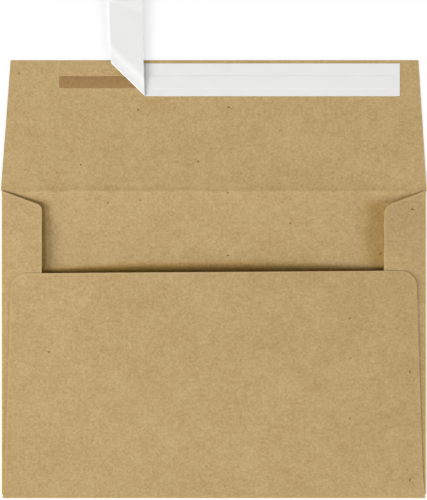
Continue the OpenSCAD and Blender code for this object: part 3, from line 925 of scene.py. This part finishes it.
class EnvelopeSheetSizes(PropertyGroup):
    paper: length("Paper", "Thickness of the kraft paper", 0.15 * MM)
    side_fold_x: length("Side fold", "From the middle to the start of each side fold", 91.675 * MM)
    side_fold_inset: length("Side fold inset", "From the body's edge to a side fold's start", 0.4 * MM)
    side_fold_radius: length("Side fold radius", "Middle radius of the side folds", 0.325 * MM)
    side_fold_low_y: length("Side fold start", "Height at which the side folds start", -64.97 * MM, -1.0)
    bottom_fold_y: length("Bottom fold", "Height at which the bottom fold starts", -66.17 * MM, -1.0)
    bottom_fold_radius: length("Bottom fold radius", "Middle radius of the bottom fold", 0.43 * MM)
    crease_y: length("Crease", "Height of the closing flap's crease", -SHEET_LOW.y)
    score_width: length("Score width", "Width of the raised score line", 2.2 * MM)
    score_height: length("Score height", "Height of the raised score line", 0.095 * MM)
    crease_spring: length("Crease spring", "How far the crease stands up off the table", 0.9 * MM)
    spring_reach_in: length("Spring reach in", "Reach of that rise over the front panel", 34.0 * MM)
    spring_reach_out: length("Spring reach out", "Reach of that rise over the closing flap", 30.0 * MM)
    edge_curl: length("Edge curl", "How far the bottom flap's side edges stand up", 0.32 * MM)
    edge_curl_reach: length("Edge curl reach", "How far in from those edges they curl", 3.0 * MM)
    right_spring: length("Right spring", "How much further the right side flap stands up", 1.6 * MM)
    flap_root_x: length("Flap root", "Half width of the closing flap at its root", SHEET_HIGH.x)
    flap_tip_y: length("Flap tip", "Height of the closing flap's straight tip", SHEET_HIGH.y)
    taper_left: length("Left taper", "How much narrower the flap's tip is on the left", 4.2 * MM)
    taper_right: length("Right taper", "How much narrower the flap's tip is on the right", 3.6 * MM)
    side_left_width: length("Left side flap", "Width of the left side flap", 17.4 * MM)
    side_right_width: length("Right side flap", "Width of the right side flap", 18.2 * MM)
    side_slope: angle("Side slope", "Slope of the side flaps' ends", 20.5)
    side_left_corner: length("Left corner", "Radius of the left side flap's corners", 2.6 * MM)
    side_right_corner: length("Right corner", "Radius of the right side flap's corners", 5.5 * MM)
    throat_left_y: length("Throat left", "Height of the bottom flap's edge, left", 30.925 * MM)
    throat_right_y: length("Throat right", "Height of the bottom flap's edge, right", 32.125 * MM)
    throat_half: length("Throat half width", "Half width of the bottom flap at the throat", 87.875 * MM)
    throat_corner: length("Throat corner", "Radius of the bottom flap's corners", 7.0 * MM)
    flare_half: length("Flare half width", "Half width of the bottom flap above its flare", 90.775 * MM)
    flare_length: length("Flare", "Height of the flare above the bottom fold", 9.5 * MM)
    pocket_lift: length("Pocket lift", "How far the back springs away from the front", 4.586 * MM)
    pocket_relax: number("Relax", "Share of the lift that the side flaps lose at the crease", 0.3, max=1.0)
    fullness: number("Fullness", "From a round arch to a flat top", 2.5, 1.0)
    throat_phase: angle("Throat phase", "Place of the throat on the back's rising arc", 66.0)


class EnvelopeFilmSizes(PropertyGroup):
    width: length("Width", "Width of the adhesive", FILM_HIGH.y - FILM_LOW.y)
    thickness: length("Thickness", "Thickness of the adhesive", FILM_HIGH.z - FILM_LOW.z)
    edge_round: length("Edge round", "Radius of the adhesive's edges", 0.025 * MM)
    unevenness: length("Unevenness", "How far the adhesive's edges wander", 0.16 * MM)


class EnvelopeLinerSizes(PropertyGroup):
    width: length("Width", "Width of the liner", 14.2 * MM)
    length: length("Length", "Full length of the liner", 152.35 * MM)
    thickness: length("Thickness", "Thickness of the liner", 0.08 * MM)
    middle_y: length("Middle", "Height of the liner's middle line", LINER_LOW.y + 7.1 * MM)
    middle_z: length("Level", "Height of the liner above the table", LINER_LOW.z + 0.04 * MM)
    fold_x: length("Fold", "Place of the fold's middle along the flap", -37.125 * MM, -1.0)
    tail: length("Tail", "Length of the peeled tail", 34.5 * MM)
    fold_angle: angle("Fold angle", "Angle of the fold across the strip", 44.1)
    fold_radius: length("Fold radius", "Middle radius of the turned-over fold", 0.3 * MM)
    curl_radius: length("Curl radius", "Radius at which the tail curls up", 20.0 * MM)
    rise: angle("Rise", "Angle of the tail's steepest rise", 11.0)
    level_radius: length("Level radius", "Radius at which the tail then levels out", 14.0 * MM)
    end_rise: angle("End rise", "Angle at which the tail's end still rises", 1.0)
    corner_length: length("Bent corner", "Length of the tail's edge that its corner takes", 5.4 * MM)
    corner_bend: angle("Corner bend", "Angle by which the corner is bent up", 4.0)
    corner_radius: length("Corner radius", "Radius of the bent corner's crease", 0.5 * MM)
    film_step: length("Film step", "How far the liner drops past the adhesive's edges", 0.045 * MM)


class EnvelopeColours(PropertyGroup):
    kraft: tint("Kraft", "Colour of the kraft paper", (0.513, 0.349, 0.135))
    film: tint("Adhesive", "Colour of the adhesive over the kraft", (0.336, 0.189, 0.057))
    liner: tint("Liner", "Colour of the release liner", (0.875, 0.875, 0.865))
    gum: tint("Gum", "Colour of the dry seam gum", (0.62, 0.52, 0.34))
    floor: tint("Floor", "Colour of the stage floor", (0.92, 0.92, 0.92))


class EnvelopeStage(PropertyGroup):
    camera_height: length("Camera height", "Height of the camera above the table", 4.0)
    view_x: length("View X", "Middle of the picture across the envelope", -0.13 * MM, -1.0)
    view_y: length("View Y", "Middle of the picture along the envelope", 41.07 * MM, -1.0)
    view_length: length("View length", "Length of table along the picture's long side", 217.05 * MM)
    key_power: number("Key", "Strength of the key light", 0.97)
    left_power: number("Left", "Power of the low softbox on the left", 26.2)
    right_power: number("Right", "Power of the low softbox on the right", 19.6)
    sky: number("Sky", "Strength of the even light from all round", 0.07)
    floor_shade: number("Floor shade", "Share of light and shade kept on the floor", 0.5, max=1.0)


# Operators


class ENVELOPE_OT_sheet(Operator):
    """Cut the kraft blank flat and fold it into the envelope"""

    bl_idname = "envelope.sheet"
    bl_label = "Fold the paper"

    def execute(self, context):
        sizes = context.scene.envelope_sheet
        piece = cut_blank(sizes)
        fold_sheet_tree(sizes, sheet_finish(context.scene.envelope_colours, sizes)).put_on(piece)
        thicken(piece, sizes.paper)
        hand_over(mark_inside(settled(piece)), "kraft_paper", "envelope_sheet")
        return {"FINISHED"}


class ENVELOPE_OT_gum(Operator):
    """Give the two gummed seams their dry gum finish"""

    bl_idname = "envelope.gum"
    bl_label = "Finish the seam gum"

    def execute(self, context):
        material = gum_finish(context.scene.envelope_colours)
        for name in ("seam_gum_left", "seam_gum_right"):
            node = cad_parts[name]
            if not node.material_slots:
                raise RuntimeError(f"{name} has no material slot")
            for slot in node.material_slots:
                slot.material = material
        return {"FINISHED"}


class ENVELOPE_OT_film(Operator):
    """Lay the strip of adhesive near the closing flap's tip"""

    bl_idname = "envelope.film"
    bl_label = "Lay the adhesive"

    def execute(self, context):
        piece = Cut().piece("adhesive_film")
        film_tree(context.scene.envelope_film, film_finish(context.scene.envelope_colours)).put_on(piece)
        hand_over(settled(piece), "adhesive", "adhesive_strip")
        return {"FINISHED"}


class ENVELOPE_OT_liner(Operator):
    """Cut the release liner flat, lay it over the adhesive and peel back its tail"""

    bl_idname = "envelope.liner"
    bl_label = "Peel the liner"

    def execute(self, context):
        sizes = context.scene.envelope_liner
        piece = cut_liner(sizes)
        fold_liner_tree(sizes, liner_finish(context.scene.envelope_colours)).put_on(piece)
        thicken(piece, sizes.thickness)
        hand_over(settled(piece), "liner", "release_liner")
        return {"FINISHED"}


class ENVELOPE_OT_stage(Operator):
    """Set the white floor, the lights and the camera above the envelope"""

    bl_idname = "envelope.stage"
    bl_label = "Set the stage"

    def execute(self, context):
        stage, colours = context.scene.envelope_stage, context.scene.envelope_colours
        place_floor(stage, colours)
        place_lights(stage)
        place_camera(stage)
        return {"FINISHED"}


def place_floor(stage, colours):
    low, high = -FLOOR_REACH, FLOOR_REACH
    corners = [(x, y, FLOOR_LEVEL) for x, y in ((low, low), (high, low), (high, high), (low, high))]
    mesh = bpy.data.meshes.new("stage_floor")
    mesh.from_pydata(corners, [], [(0, 1, 2, 3)])
    mesh.materials.append(floor_finish(colours.floor, stage.floor_shade))
    linked("stage_floor", mesh)


def lamp(name, kind, towards, distance, power, **settings):
    """A lamp that shines on the lit spot from the given direction."""
    data = bpy.data.lights.new(name, kind)
    data.energy = power
    for setting, value in settings.items():
        setattr(data, setting, value)
    made = linked(name, data)
    direction = Vector(towards).normalized()
    made.location = LIT_SPOT + direction * distance
    made.rotation_mode = "QUATERNION"
    made.rotation_quaternion = direction.to_track_quat("Z", "Y")


def place_lights(stage):
    lamp("key_light", "SUN", KEY_FROM, KEY_DISTANCE, stage.key_power, angle=KEY_ANGLE)
    box = {"distance": SOFTBOX_DISTANCE, "shape": "RECTANGLE", "size": SOFTBOX_WIDTH}
    lamp("left_softbox", "AREA", LEFT_FROM, power=stage.left_power, size_y=LEFT_DEPTH, **box)
    lamp("right_softbox", "AREA", RIGHT_FROM, power=stage.right_power, size_y=RIGHT_DEPTH, **box)
    world = bpy.data.worlds.new("studio_sky")
    world.use_nodes = True
    bpy.context.scene.world = world
    background = next(n for n in world.node_tree.nodes if n.type == "BACKGROUND")
    background.inputs["Color"].default_value = WHITE
    strength = stage.sky + Graph(world.node_tree).seen() * (1.0 - stage.sky)
    world.node_tree.links.new(strength.socket, background.inputs["Strength"])


def place_camera(stage):
    data = bpy.data.cameras.new("camera_above")
    data.sensor_width = SENSOR_WIDTH
    data.lens = data.sensor_width * stage.camera_height / stage.view_length
    data.clip_start, data.clip_end = CLIP_START, CLIP_END
    camera = linked("camera_above", data)
    camera.location = (stage.view_x, stage.view_y, stage.camera_height)
    bpy.context.scene.camera = camera
    bpy.context.scene.view_settings.view_transform = "Standard"


class ENVELOPE_PT_panel(Panel):
    """Lists the steps that build the envelope"""

    bl_idname = "ENVELOPE_PT_panel"
    bl_label = "Kraft Envelope"
    bl_space_type = "VIEW_3D"
    bl_region_type = "UI"
    bl_category = "Envelope"

    def draw(self, context):
        for step in STEPS:
            self.layout.operator(step.bl_idname)


STEPS = (ENVELOPE_OT_sheet, ENVELOPE_OT_gum, ENVELOPE_OT_film, ENVELOPE_OT_liner, ENVELOPE_OT_stage)
GROUPS = {
    "envelope_sheet": EnvelopeSheetSizes,
    "envelope_film": EnvelopeFilmSizes,
    "envelope_liner": EnvelopeLinerSizes,
    "envelope_colours": EnvelopeColours,
    "envelope_stage": EnvelopeStage,
}


def register():
    for group in (*GROUPS.values(), *STEPS, ENVELOPE_PT_panel):
        bpy.utils.register_class(group)
    for name, group in GROUPS.items():
        setattr(bpy.types.Scene, name, PointerProperty(type=group))


def unregister():
    for name in GROUPS:
        delattr(bpy.types.Scene, name)
    for group in reversed((*GROUPS.values(), *STEPS, ENVELOPE_PT_panel)):
        bpy.utils.unregister_class(group)


def main():
    register()
    bpy.ops.envelope.stage()
    bpy.ops.envelope.sheet()
    bpy.ops.envelope.gum()
    bpy.ops.envelope.film()
    bpy.ops.envelope.liner()


if __name__ == "__main__":
    main()
